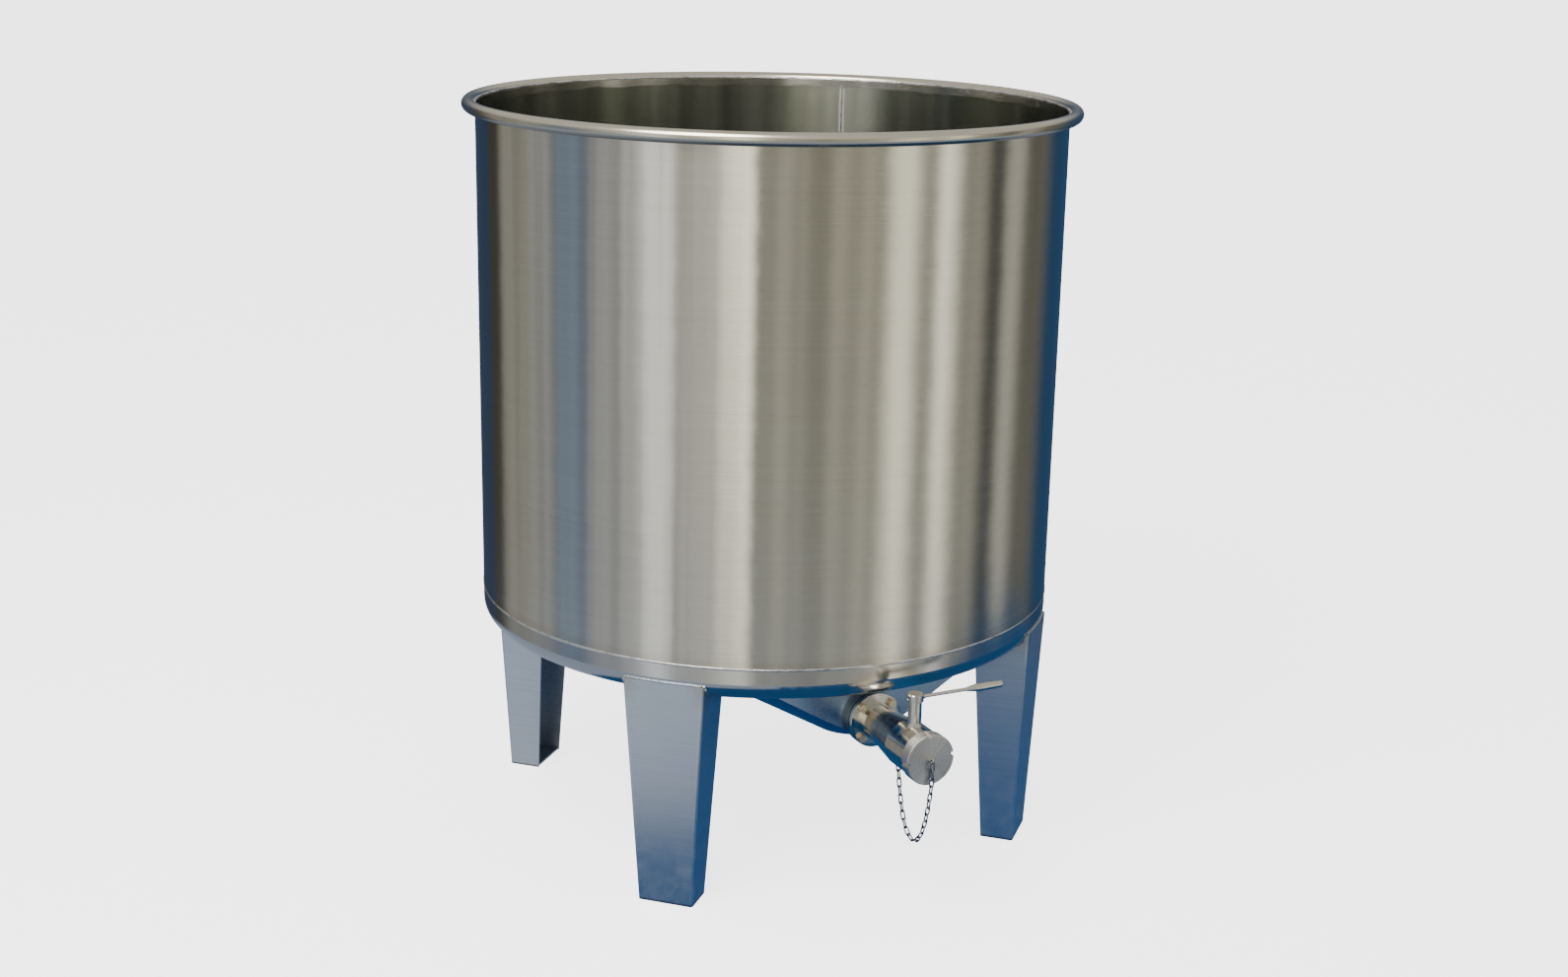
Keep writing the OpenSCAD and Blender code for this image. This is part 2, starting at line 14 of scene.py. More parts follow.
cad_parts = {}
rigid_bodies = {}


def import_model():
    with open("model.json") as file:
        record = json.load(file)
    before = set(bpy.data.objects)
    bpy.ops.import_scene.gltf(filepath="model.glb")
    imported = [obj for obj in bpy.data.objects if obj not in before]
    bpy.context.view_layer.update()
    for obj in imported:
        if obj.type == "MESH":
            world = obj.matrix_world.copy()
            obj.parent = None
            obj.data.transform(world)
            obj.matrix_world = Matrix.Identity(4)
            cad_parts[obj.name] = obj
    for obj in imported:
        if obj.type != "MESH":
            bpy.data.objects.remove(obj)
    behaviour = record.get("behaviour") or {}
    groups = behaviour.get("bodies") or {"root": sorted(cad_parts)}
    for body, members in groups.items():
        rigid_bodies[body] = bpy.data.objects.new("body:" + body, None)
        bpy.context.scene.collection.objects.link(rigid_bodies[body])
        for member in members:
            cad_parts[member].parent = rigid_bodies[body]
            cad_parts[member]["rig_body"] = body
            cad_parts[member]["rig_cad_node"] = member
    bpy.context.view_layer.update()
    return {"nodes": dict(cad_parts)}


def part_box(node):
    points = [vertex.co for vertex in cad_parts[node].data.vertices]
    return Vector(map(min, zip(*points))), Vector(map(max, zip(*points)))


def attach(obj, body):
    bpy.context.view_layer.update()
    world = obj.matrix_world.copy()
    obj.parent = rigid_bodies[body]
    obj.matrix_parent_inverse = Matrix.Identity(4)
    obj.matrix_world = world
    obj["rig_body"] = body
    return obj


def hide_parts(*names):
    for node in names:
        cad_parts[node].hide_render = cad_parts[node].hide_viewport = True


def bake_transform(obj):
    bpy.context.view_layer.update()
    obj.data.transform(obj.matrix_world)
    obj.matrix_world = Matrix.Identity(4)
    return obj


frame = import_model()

cad = frame["nodes"]

# %% [markdown]
# ## The camera
# The camera stands a little left of the outlet and looks down into the mouth. Its place is
# worked out on a circle round the tank's axis, so the heading, the height and the distance
# are each one plain number. A medium long lens keeps the shell's sides nearly parallel.

# %% Set up the camera
HEADING = math.radians(25.5)     # how far left of the outlet the camera stands
STAND_OFF, EYE_HEIGHT = 3.6593, 1.6194
TILT_DOWN, TURN, ROLL = 0.2762, 0.0087, 0.0205
around = Matrix.Rotation(-HEADING, 3, "Z")
forward = around @ Vector((math.sin(TURN) * math.cos(TILT_DOWN),
                           math.cos(TURN) * math.cos(TILT_DOWN), -math.sin(TILT_DOWN)))
level_right = around @ Vector((math.cos(TURN), -math.sin(TURN), 0))
level_up = level_right.cross(forward)
right = level_right * math.cos(ROLL) + level_up * math.sin(ROLL)
up = level_up * math.cos(ROLL) - level_right * math.sin(ROLL)
lens = bpy.data.cameras.new("studio_camera")
lens.lens, lens.sensor_width, lens.clip_end = 49.13, 36, 200
camera = bpy.data.objects.new("studio_camera", lens)
camera.matrix_world = (Matrix.Translation(around @ Vector((0, -STAND_OFF, EYE_HEIGHT)))
                       @ Matrix((right, up, -forward)).transposed().to_4x4())
bpy.context.scene.collection.objects.link(camera)
bpy.context.scene.camera = camera
print("camera at", tuple(round(c, 3) for c in camera.location))

# %% [markdown]
# ## Writing nodes as sums
# Steel finishes are built from a few numbers that change over the surface. Drawing every
# Math node by hand hides the sum, so a small class wraps a socket and lets Python's own
# operators add the nodes. Anything else comes from one method that takes the node's type,
# its settings and the values or links of its sockets.

# %% A number socket with operators
class Reading:
    """A number on its way between nodes."""
    def __init__(self, bench, socket):
        self.bench, self.socket = bench, socket

    def reckon(self, operation, *parts):
        return self.bench.node("ShaderNodeMath", {"operation": operation},
                               dict(enumerate(parts)))

    def __add__(self, other): return self.reckon("ADD", self, other)
    def __radd__(self, other): return self.reckon("ADD", other, self)
    def __sub__(self, other): return self.reckon("SUBTRACT", self, other)
    def __rsub__(self, other): return self.reckon("SUBTRACT", other, self)
    def __mul__(self, other): return self.reckon("MULTIPLY", self, other)
    def __rmul__(self, other): return self.reckon("MULTIPLY", other, self)
    def __truediv__(self, other): return self.reckon("DIVIDE", self, other)

    def size(self):
        """The number without its sign."""
        return self.reckon("ABSOLUTE", self)

    def step(self, low, high):
        """0 below low and 1 above high, with a soft change between them."""
        return self.bench.node("ShaderNodeMapRange", {"interpolation_type": "SMOOTHSTEP"},
                               {"Value": self, "From Min": low, "From Max": high})

    def wave(self, period):
        return self.reckon("SINE", self * (math.tau / period))

print("sockets can be reckoned with")

# %% A node tree that hands out its nodes
def opaque(tone):
    """A colour with the fourth number that a colour socket wants."""
    return (*tone, 1)

class Bench:
    """The nodes of one material, or of the studio's surroundings."""
    def __init__(self, tree):
        self.tree = tree
        tree.nodes.clear()

    def node(self, kind, settings=None, sockets=None, out=0):
        """A new node: first its settings, a ramp's stops among them, then its sockets."""
        made = self.tree.nodes.new(kind)
        for name, value in (settings or {}).items():
            if name == "stops":
                ramp = made.color_ramp
                while len(ramp.elements) < len(value):
                    ramp.elements.new(0.5)
                for element, (place, colour) in zip(ramp.elements, value):
                    element.position, element.color = place, opaque(colour)
            elif name == "blend":
                made.color_ramp.interpolation = value
            else:
                setattr(made, name, value)
        for name, value in (sockets or {}).items():
            if isinstance(value, Reading):
                self.tree.links.new(value.socket, made.inputs[name])
            else:
                made.inputs[name].default_value = value
        return Reading(self, made.outputs[out])

    def finish(self, kind, surface):
        """The tree's last node, which shows the surface."""
        end = self.tree.nodes.new(kind)
        self.tree.links.new(surface.socket, end.inputs["Surface"])

    def place(self, centre=(0, 0, 0), scale=(1, 1, 1), turn=(0, 0, 0)):
        """The point on the piece, measured from centre, stretched and turned."""
        here = self.node("ShaderNodeTexCoord", out="Object")
        moved = self.node("ShaderNodeVectorMath", {"operation": "SUBTRACT"}, {0: here, 1: centre})
        return self.node("ShaderNodeMapping", {}, {"Vector": moved, "Rotation": turn,
                                                   "Scale": scale})

    def noise(self, where, scale=1.0, detail=2.0, roughness=0.5):
        return self.node("ShaderNodeTexNoise", {"noise_dimensions": "3D"},
                         {"Vector": where, "Scale": scale, "Detail": detail,
                          "Roughness": roughness})

    def part(self, where, axis):
        """One of the three numbers of a point."""
        return self.node("ShaderNodeSeparateXYZ", {}, {0: where}, out=axis)

    def flat(self, where, axis):
        """The point pressed flat along one axis."""
        return self.node("ShaderNodeVectorMath", {"operation": "MULTIPLY"}, {
            0: where, 1: [0 if i == axis else 1 for i in range(3)]})

    def length(self, where):
        return self.node("ShaderNodeVectorMath", {"operation": "LENGTH"}, {0: where}, out="Value")

    def from_axis(self, where, axis):
        """How far a point lies from one axis through the centre."""
        return self.length(self.flat(where, axis))

    def mix(self, factor, first, second):
        """A colour between two, each of them a link or three plain numbers."""
        first, second = (tone if isinstance(tone, Reading) else opaque(tone)
                         for tone in (first, second))
        return self.node("ShaderNodeMix", {"data_type": "RGBA"},
                         {0: factor, 6: first, 7: second}, out=2)

print("node helpers ready")

# %% [markdown]
# ## The studio
# Polished steel shows what stands round it, so the surroundings matter more than the lamps.
# Tall soft panels, some warm and some cool, stand in a ring round the tank and draw the
# upright bands on the shell. Panels could be planes in the scene, but a ring of colours over
# the heading needs no meshes and moves with one number each. The ring has folds like those
# of hung cloth, a pale wall below it, which the legs mirror, and a plain grey dome above.

# %% The ring of panels
def grey(level, warmth=0.0):
    """A light of one brightness, warm above 0 and cool below."""
    return (level * (1 + 0.2 * warmth), level, level * (1 - 0.9 * warmth))

# Where each panel starts and ends, in degrees, and its light. Seen from the tank, 0 is the
# camera's side, and headings to the right of the camera are above 0.
LEFT_PANELS = [(-180, -142, (0.03, 0.06, 0.13)), (-138, -130, grey(0.06, 0.10)),
               (-124, -107, grey(0.34, 0.10)), (-102, -92, grey(0.42, -0.04)),
               (-88, -75, (0.22, 0.29, 0.41)), (-70, -61, grey(0.46, -0.05)),
               (-56, -53, grey(0.75)), (-47, -39, grey(1.40, -0.03)),
               (-35, -22, grey(0.66, 0.08)), (-13, -8, grey(2.40, 0.14))]
RIGHT_PANELS = [(-4, 12, grey(0.50, 0.18)), (15, 21, grey(0.28, 0.20)),
                (25, 43, grey(0.54, 0.20)), (49, 53, grey(1.60, 0.16)),
                (58, 64, grey(0.64, 0.16)), (69, 71, grey(2.10, 0.14)),
                (77, 87, grey(0.40, 0.16)), (93, 97, grey(0.09, 0.05)),
                (104, 107, grey(0.62, 0.10)), (115, 127, grey(0.16, 0.14)),
                (139, 180, (0.02, 0.07, 0.17))]
RAMPS_MEET = (0.4838, 0.4840)     # the share of a full turn where the right ramp takes over

def hang(bench, heading, panels):
    """A ramp over the heading that holds each panel's light and blends in the gaps."""
    return bench.node("ShaderNodeValToRGB", {"blend": "LINEAR", "stops": [
        ((edge + 180) / 360, light) for *edges, light in panels for edge in edges]},
        {0: heading})

print(len(LEFT_PANELS + RIGHT_PANELS), "panels in the ring")

# %% The surroundings that the steel mirrors
PALE_WALL, FOLD_SHADE, DOME = (0.38, 0.45, 0.57), grey(0.06, 0.1), grey(0.62, 0.05)
WALL_TO_PANELS, PANELS_TO_DOME = (-0.44, -0.36), (0.10, 0.45)    # by height in the view
ROOM_STRENGTH = 3.4               # of the plain pale room that the camera sees

studio = bpy.data.worlds.new("studio")
studio.use_nodes = True
room = Bench(studio.node_tree)
toward = room.node("ShaderNodeTexCoord", out="Generated")
turned = room.node("ShaderNodeMapping", {}, {"Vector": toward, "Rotation": (0, 0, HEADING)})
x, y, height = (room.part(turned, axis) for axis in range(3))
bearing = x.reckon("ARCTAN2", x, 0 - y) / math.tau + 0.5
ring = room.mix(bearing.step(*RAMPS_MEET), hang(room, bearing, LEFT_PANELS),
                hang(room, bearing, RIGHT_PANELS))
wide_folds, fine_folds = (
    room.noise(room.node("ShaderNodeCombineXYZ", {}, {0: bearing * count, 1: height}),
               detail=2, roughness=0.6) for count in (45, 240))
folds = wide_folds.step(0.50, 0.56) * 0.30 + fine_folds.step(0.45, 0.62) * 0.30
low = room.mix(height.step(*WALL_TO_PANELS), PALE_WALL, room.mix(folds, ring, FOLD_SHADE))
dome = room.mix(height.step(*PANELS_TO_DOME), low, DOME)
mirrored = room.node("ShaderNodeBackground", {}, {"Color": dome, "Strength": 1.0})
pale_room = room.node("ShaderNodeBackground", {}, {"Color": opaque(grey(1.0)),
                                                   "Strength": ROOM_STRENGTH})
seen = room.node("ShaderNodeLightPath", out="Is Camera Ray")
shown = room.node("ShaderNodeMixShader", {}, {0: seen, 1: mirrored, 2: pale_room})
room.finish("ShaderNodeOutputWorld", shown)
bpy.context.scene.world = studio
print(len(studio.node_tree.nodes), "nodes in the studio")

# %% [markdown]
# ## The floor, the blue paper and the lamp
# The floor is a wide pale disk, so no edge of it is seen. Blue paper lies round the tank's
# feet and colours the knuckle, the sump, the legs and the shell's edges. It is a second disk
# that only mirrored light meets, while the floor itself is left out of reflections. One
# large soft lamp, high on the left, gives the floor its weak shadows.

# %% Lay the floor and the paper, and hang the lamp
PAPER_CENTRE, PAPER_REACH = (0.45, -0.4, -0.002), (1.13, 0.78, 1)
LAMP_PLACE, LAMP_AIM = Vector((-2.4, -1.6, 3.9)), Vector((0, 0, 0.6))

def floor_disk(name, radius, centre=(0, 0, 0), reach=(1, 1, 1)):
    bpy.ops.object.select_all(action="DESELECT")
    bpy.ops.mesh.primitive_circle_add(vertices=96, radius=radius, fill_type="NGON",
                                      location=centre)
    disk = bpy.context.object
    disk.scale = reach
    bpy.ops.object.transform_apply(location=True, rotation=True, scale=True)
    disk.name = name
    return disk

floor = floor_disk("studio_floor", 40)
floor.visible_glossy = False      # the steel mirrors the paper and the panels instead
blue_paper = floor_disk("studio_paper", 1, PAPER_CENTRE, PAPER_REACH)
blue_paper.visible_camera = blue_paper.visible_diffuse = blue_paper.visible_shadow = False
lamp = bpy.data.lights.new("soft_lamp", "AREA")
lamp.shape, lamp.size, lamp.energy, lamp.color = "DISK", 2.6, 190, (1.0, 0.97, 0.93)
soft_lamp = bpy.data.objects.new("soft_lamp", lamp)
soft_lamp.location = LAMP_PLACE
soft_lamp.rotation_mode = "QUATERNION"
soft_lamp.rotation_quaternion = (LAMP_PLACE - LAMP_AIM).to_track_quat("Z", "Y")
soft_lamp.visible_camera = False
bpy.context.scene.collection.objects.link(soft_lamp)
print("lamp", tuple(round(c, 2) for c in soft_lamp.location))

# %% [markdown]
# ## A finish
# Every finish here ends in one Principled shader. What is the same all over the surface,
# such as the stretch of a brushed highlight, is set on the shader's own socket; only the
# colour, the roughness and the small relief follow the surface. Brushed steel stretches a
# highlight across its scratches, which is why the shell shows upright bands: its scratches
# run round it. Some upright bands are also painted into the shell's colour.

# %% One shader with its steady and its changing parts
def dressed(name, paint, **steady):
    """A finish called name; paint(bench) gives its changing parts, steady its fixed ones."""
    made = bpy.data.materials.new(name)
    made.use_nodes = True
    bench = Bench(made.node_tree)
    changing = paint(bench)
    if "relief" in changing:
        height_map, depth = changing.pop("relief")
        changing["Normal"] = bench.node("ShaderNodeBump", {}, {
            "Height": height_map, "Strength": 1.0, "Distance": depth})
    bench.finish("ShaderNodeOutputMaterial",
                 bench.node("ShaderNodeBsdfPrincipled", {}, {**steady, **changing}))
    return made

print("finishes can be made")

# %% The finishes of the floor and the paper
BLUE_PAPER, BLUE_CLOUD = (0.012, 0.10, 0.29), (0.02, 0.14, 0.36)

def floor_paint(bench):
    fibres = bench.noise(bench.place(), scale=900, detail=2)
    return {"Base Color": bench.mix(fibres, (0.83, 0.835, 0.84), (0.87, 0.87, 0.87))}

def blue_paint(bench):
    cloud = bench.noise(bench.place(), scale=6, detail=2)
    return {"Emission Color": bench.mix(cloud, BLUE_PAPER, BLUE_CLOUD)}

floor.data.materials.append(dressed("floor_paper", floor_paint, Roughness=0.9, **{
    "Emission Color": (0.98, 0.985, 1.0, 1), "Emission Strength": 3.0}))
blue_paper.data.materials.append(dressed("mirrored_paper", blue_paint, **{
    "Base Color": (0, 0, 0, 1), "Specular IOR Level": 0.0, "Emission Strength": 0.75}))
print("floor and paper have finishes")

# %% [markdown]
# ## Brushed sheet for the shell
# The shell is cold-rolled sheet, ground with a belt that ran along the strip before it was
# rolled up, so the scratches lie level. Seen close they are fine level streaks of slightly
# different gloss. Upright bands are painted into its colour, a painted reflection of the
# surroundings. Inside, the same sheet has dulled, and its colour is painted a dark brown-grey,
# partly painted shade of the tank's inside, with the painted bands as lighter upright streaks,
# except for a strip just under the rim and along the upright seam that was ground bright after
# welding. A brown tint stays beside the lower seam.

# %% The shell's finish
INNER_WALL, SHELL_TOP, SEAM_Z = 0.4985, 1.257, 0.425
SEAM_ANGLE = math.radians(49.2)

def shell_paint(bench):
    here = bench.place()
    scratches = bench.noise(bench.place(scale=(2.5, 2.5, 620)), detail=3, roughness=0.65)
    coarse = bench.noise(bench.place(scale=(1.2, 1.2, 95)), detail=2)
    # upright bands painted into the colour: a painted reflection of the surroundings' bands
    painted_upright_bands = bench.noise(bench.place(scale=(9, 9, 0.35)), detail=3)
    cloud = bench.noise(here, scale=3.2, detail=3)
    tone = 0.18 + 0.34 * scratches + 0.24 * coarse + 0.24 * painted_upright_bands
    sheet = bench.mix(tone, (0.54, 0.52, 0.44), (0.75, 0.73, 0.65))
    radius, height = bench.from_axis(here, 2), bench.part(here, 2)
    inside = 1 - radius.step(INNER_WALL - 0.0004, INNER_WALL + 0.0004)
    ragged = height + 0.010 * bench.noise(bench.place(scale=(16, 16, 1)), detail=3)
    ground = ragged.step(SHELL_TOP - 0.009, SHELL_TOP - 0.006)
    in_line = bench.place(turn=(0, 0, -SEAM_ANGLE))
    seam = (1 - bench.part(in_line, 1).size().step(0.003, 0.007)) * bench.part(
        in_line, 0).step(0, 0.1)
    # the inside painted dark: partly painted shade inside the tank, its streaks painted bands
    painted_inner_shade = bench.mix(painted_upright_bands.step(0.40, 0.66), (0.20, 0.21, 0.165), (0.38, 0.39, 0.33))
    lining = bench.mix(ground.reckon("MAXIMUM", ground, seam * 0.85), painted_inner_shade,
                       (0.64, 0.63, 0.57))
    near_seam = 1 - height.step(SEAM_Z + 0.004, SEAM_Z + 0.022)
    tinted = bench.mix(near_seam * 0.45, sheet, (0.56, 0.50, 0.42))
    uneven = bench.noise(bench.place(scale=(7, 7, 12)), detail=2)
    return {"Base Color": bench.mix(inside, tinted, lining),
            "Roughness": 0.12 + 0.05 * scratches + 0.03 * cloud + 0.08 * inside * (1 - ground),
            "relief": (0.30 * scratches + 0.20 * coarse + 2.2 * uneven, 0.00030)}

brushed_sheet = dressed("brushed_sheet", shell_paint, Metallic=1.0, Anisotropic=0.97,
                        **{"Anisotropic Rotation": 0.25})
print(brushed_sheet.name)

# %% [markdown]
# ## The bottom
# The dished bottom is the same sheet, spun and then polished, so it has no level brushing
# but faint rings. Where the outlet was welded in, a patch over the flange was polished
# bright again, with a straw tint round it. The sump below is left dull, and its blue colour
# is a painted reflection of the blue paper on the floor.

# %% The bottom's finish
PATCH_CENTRE, PATCH_STRETCH = (-0.012, -0.474, 0.383), (0.62, 0.8, 1.4)

def bottom_paint(bench):
    here = bench.place()
    rings = bench.noise(bench.place(scale=(1.5, 1.5, 300)), detail=2)
    cloud = bench.noise(here, scale=7, detail=4, roughness=0.6)
    scuffs = bench.noise(bench.place(scale=(60, 60, 8)), detail=3)
    ragged = bench.length(bench.place(centre=PATCH_CENTRE, scale=PATCH_STRETCH)) + 0.018 * cloud
    polished = 1 - ragged.step(0.034, 0.060)
    rim_of_patch = ragged.step(0.028, 0.046) * (1 - ragged.step(0.048, 0.070))
    steel = bench.mix(0.3 + 0.5 * cloud, (0.47, 0.475, 0.47), (0.62, 0.62, 0.61))
    straw = bench.mix(rim_of_patch * 0.5, steel, (0.60, 0.48, 0.30))
    shown = bench.mix(polished * 0.8, straw, (0.80, 0.77, 0.70))
    # the sump painted blue: a painted reflection of the blue paper below it
    sump_painted_blue = (1 - bench.part(here, 2).step(0.380, 0.392)) * (
        1 - bench.from_axis(here, 2).step(0.468, 0.480))
    return {"Base Color": bench.mix(sump_painted_blue * 0.75, shown, (0.11, 0.23, 0.42)),
            "Roughness": 0.13 + 0.06 * rings + 0.05 * scuffs - 0.03 * polished + 0.10 * sump_painted_blue,
            "relief": ((cloud + 0.3 * scuffs) * (1 - 0.8 * sump_painted_blue), 0.00018)}

pressed_sheet = dressed("pressed_sheet", bottom_paint, Metallic=1.0)
print(pressed_sheet.name)

# %% [markdown]
# ## The rim tube
# The rim is a bent tube, polished all round with small flaps of cloth, so its finish is a
# little uneven. Its underside is painted darker, a painted shade below the tube. That side is
# found by the direction of the surface, which needs no painting by hand.

# %% The rim's finish
def rim_paint(bench):
    round_it = bench.noise(bench.place(scale=(3, 3, 900)), detail=3)
    dents = bench.noise(bench.place(), scale=26, detail=2)
    facing = bench.node("ShaderNodeNewGeometry", out="Normal")
    # painted shade: the side that faces down is darkened in the colour
    painted_underside_shade = (0 - bench.part(facing, 2)).step(0.15, 0.65)
    tone = bench.mix(0.2 + 0.6 * round_it, (0.58, 0.54, 0.43), (0.76, 0.72, 0.60))
    return {"Base Color": bench.mix(painted_underside_shade * 0.8, tone, (0.22, 0.20, 0.18)),
            "Roughness": 0.15 + 0.10 * round_it + 0.05 * dents,
            "relief": (0.3 * round_it + dents, 0.00012)}

polished_tube = dressed("polished_tube", rim_paint, Metallic=1.0)
print(polished_tube.name)

# %% [markdown]
# ## The legs
# The legs are folded from plainer sheet with a dull mill skin, whose light blue is partly a
# painted reflection of the blue paper. A painted highlight runs along the folds, the sheet is
# tinted brown by heat beside the welds at the top and scuffed near the floor, and a painted
# shade darkens the edge where the leg stands on the floor. All four legs are alike,
# so one sum finds the folds of each: how far a point lies from the leg's middle line.

# %% The legs' finish
FOLD_TURN = math.radians(44)      # the legs stand at the corners, turned by one degree
HALF_FOOT, WIDENING = 0.0475, 0.056

def leg_paint(bench):
    here = bench.place()
    height = bench.part(here, 2)
    skin = bench.noise(here, scale=38, detail=4, roughness=0.6)
    cloud = bench.noise(here, scale=6, detail=3)
    drawn = bench.noise(bench.place(scale=(6, 6, 850)), detail=3, roughness=0.6)
    square_on = bench.place(turn=(0, 0, FOLD_TURN))
    sides = [bench.part(square_on, axis).size() for axis in (0, 1)]
    from_middle = sides[0].reckon("MINIMUM", *sides)
    to_fold = from_middle - (HALF_FOOT + WIDENING * height)
    outward = bench.node("ShaderNodeVectorMath", {"operation": "DOT_PRODUCT"}, {
        0: bench.node("ShaderNodeNewGeometry", out="Normal"), 1: here}, out="Value")
    front = (outward / bench.from_axis(here, 2)).step(0.45, 0.75)
    # painted highlight: the colour is lightened along the folds that face out
    painted_fold_highlight = to_fold.step(-0.0065, -0.0015) * front
    heated = to_fold.step(-0.035, -0.002) * height.step(0.345, 0.392)
    # painted shade: the bottom few millimetres are darkened where the leg meets the floor
    foot = 1 - height.step(0.001, 0.006)
    scuffed = (1 - height.step(0.0, 0.16)) * skin.step(0.42, 0.68)
    # the sheet's light blue is partly a painted reflection of the blue paper
    sheet = bench.mix(0.4 * cloud + 1.2 * drawn - 0.3, (0.46, 0.52, 0.60), (0.70, 0.75, 0.81))
    worn = bench.mix(scuffed * 0.4, sheet, (0.66, 0.68, 0.70))
    with_fold_highlight = bench.mix(painted_fold_highlight * 0.9, worn, (0.97, 0.95, 0.91))
    tinted = bench.mix(heated * 0.5, with_fold_highlight, (0.46, 0.40, 0.32))
    return {"Base Color": bench.mix(foot * 0.8, tinted, (0.14, 0.13, 0.11)),
            "Roughness": 0.33 + 0.08 * skin + 0.07 * drawn + 0.08 * scuffed - 0.08 * painted_fold_highlight,
            "relief": (skin + 0.5 * drawn, 0.00008)}

leg_sheet = dressed("leg_sheet", leg_paint, Metallic=1.0)
print(leg_sheet.name)

# %% [markdown]
# ## Turned and polished parts
# Flanges, the blank nut and the end piece come off a lathe, whose tool leaves fine rings
# round the outlet's axis; a ring pattern is a wave of the distance from that axis, broken
# up by a little noise. On an upright part, such as the stem and its hub, the same rings
# stand round a vertical axis. The valve's body is buffed, so its rings are almost gone.
# Light and dark streaks fanning out from the axis are painted into the colour as well, a
# painted sheen like the one a turned face shows.

# %% Finishes that follow a turning axis
def turned_paint(axis, centre, dark, light, rough, groove, depth):
    """Rings round axis 0, 1 or 2 through centre, with grooves that far apart."""
    def paint(bench):
        here = bench.place(centre=centre)
        path = bench.from_axis(here, axis) + bench.part(here, axis)
        patchy = bench.noise(here, scale=45, detail=3)
        feed, drift = path.wave(groove), path.wave(groove * 7.3)
        # painted sheen: streaks that fan out from the axis lighten and darken the colour
        painted_radial_sheen = bench.noise(bench.node("ShaderNodeVectorMath", {"operation": "NORMALIZE"},
                                        {0: bench.flat(here, axis)}), scale=3.5, detail=3)
        tone = 0.45 + 0.16 * feed + 0.14 * drift + 0.4 * (patchy - 0.5) + 1.2 * (painted_radial_sheen - 0.5)
        return {"Base Color": bench.mix(tone, dark, light),
                "Roughness": rough + 0.05 * drift + 0.10 * (patchy - 0.5),
                "relief": (feed + 0.6 * patchy, depth)}
    return paint

OUTLET_Z = 0.302                  # height of the outlet's axis
ON_OUTLET, ON_LEVER = (0, -0.56, OUTLET_Z), (0, -0.56, 0.387)
# the axis, a point on it, the dark and the light tone, roughness, groove and its depth
LATHE = {
    "turned_steel": (1, ON_OUTLET, (0.34, 0.315, 0.26), (0.60, 0.57, 0.50),
                     0.24, 0.0011, 0.00005),
    "nut_steel": (1, ON_OUTLET, (0.56, 0.545, 0.52), (0.78, 0.76, 0.72),
                  0.38, 0.0009, 0.00006),
    "buffed_steel": (1, ON_OUTLET, (0.54, 0.52, 0.47), (0.74, 0.72, 0.66),
                     0.13, 0.0024, 0.00001),
    "upright_steel": (2, ON_OUTLET, (0.54, 0.52, 0.47), (0.68, 0.66, 0.60),
                      0.20, 0.0004, 0.00001),
    "lever_steel": (0, ON_LEVER, (0.62, 0.60, 0.54), (0.74, 0.72, 0.65),
                    0.24, 0.0003, 0.00001),
    "ball_steel": (0, ON_OUTLET, (0.60, 0.60, 0.60), (0.74, 0.74, 0.74),
                   0.10, 0.0030, 0.00001),
}
turned_steel, nut_steel, buffed_steel, upright_steel, lever_steel, ball_steel = (
    dressed(name, turned_paint(*cut), Metallic=1.0) for name, cut in LATHE.items())
print(len(LATHE), "turned finishes")

# %% [markdown]
# ## Welds, fixings and seals
# A weld bead is brighter than the sheet where it was brushed, with straw, brown and blue
# tints in its hollows. The flange's screws have a warmer, slightly brassy steel, and the
# chain's links are a dark bluish steel. The seats and the bushing are white PTFE, a waxy
# plastic, and the seals are black rubber. But for the weld, one recipe serves them all: two
# tones under a fine noise that also makes the surface rougher and a little uneven.

# %% Finishes of welds, fixings and seals
def weld_paint(bench):
    here = bench.place()
    grain = bench.noise(here, scale=240, detail=3)
    drift = bench.noise(here, scale=40, detail=3)
    tints = bench.node("ShaderNodeValToRGB", {"stops": [
        (0.30, (0.30, 0.33, 0.42)), (0.42, (0.62, 0.58, 0.50)), (0.52, (0.80, 0.79, 0.77)),
        (0.66, (0.86, 0.85, 0.82)), (0.80, (0.62, 0.52, 0.36))]}, {0: drift})
    return {"Base Color": bench.mix(grain * 0.5, tints, (0.80, 0.80, 0.79)),
            "Roughness": 0.22 + 0.22 * grain, "relief": (grain, 0.0003)}

def speckled(dark, light, scale, detail, rough, rougher):
    """Two tones under a noise of that scale, rough where dark and rougher where light."""
    def paint(bench):
        speck = bench.noise(bench.place(), scale=scale, detail=detail)
        return {"Base Color": bench.mix(speck, dark, light),
                "Roughness": rough + rougher * speck, "relief": (speck, 0.0001)}
    return paint

weld_steel = dressed("weld_steel", weld_paint, Metallic=1.0)
screw_steel = dressed("screw_steel", speckled(
    (0.55, 0.45, 0.29), (0.80, 0.73, 0.58), 320, 3, 0.20, 0.18), Metallic=1.0)
white_ptfe = dressed("white_ptfe", speckled(
    (0.74, 0.74, 0.71), (0.86, 0.86, 0.84), 90, 3, 0.38, 0.14), IOR=1.38)
black_rubber = dressed("black_rubber", speckled(
    (0.012, 0.012, 0.013), (0.035, 0.035, 0.036), 700, 2, 0.50, 0.20), IOR=1.5)
chain_steel = dressed("chain_steel", speckled(
    (0.07, 0.085, 0.12), (0.28, 0.30, 0.36), 300, 3, 0.22, 0.20), Metallic=1.0)
print("welds, fixings and seals have finishes")

# %% [markdown]
# ## Dressing the engineering parts
# The model's own parts keep their shapes. Each takes its finish in its material slots; a
# table of finish to part names keeps the choice in one place.

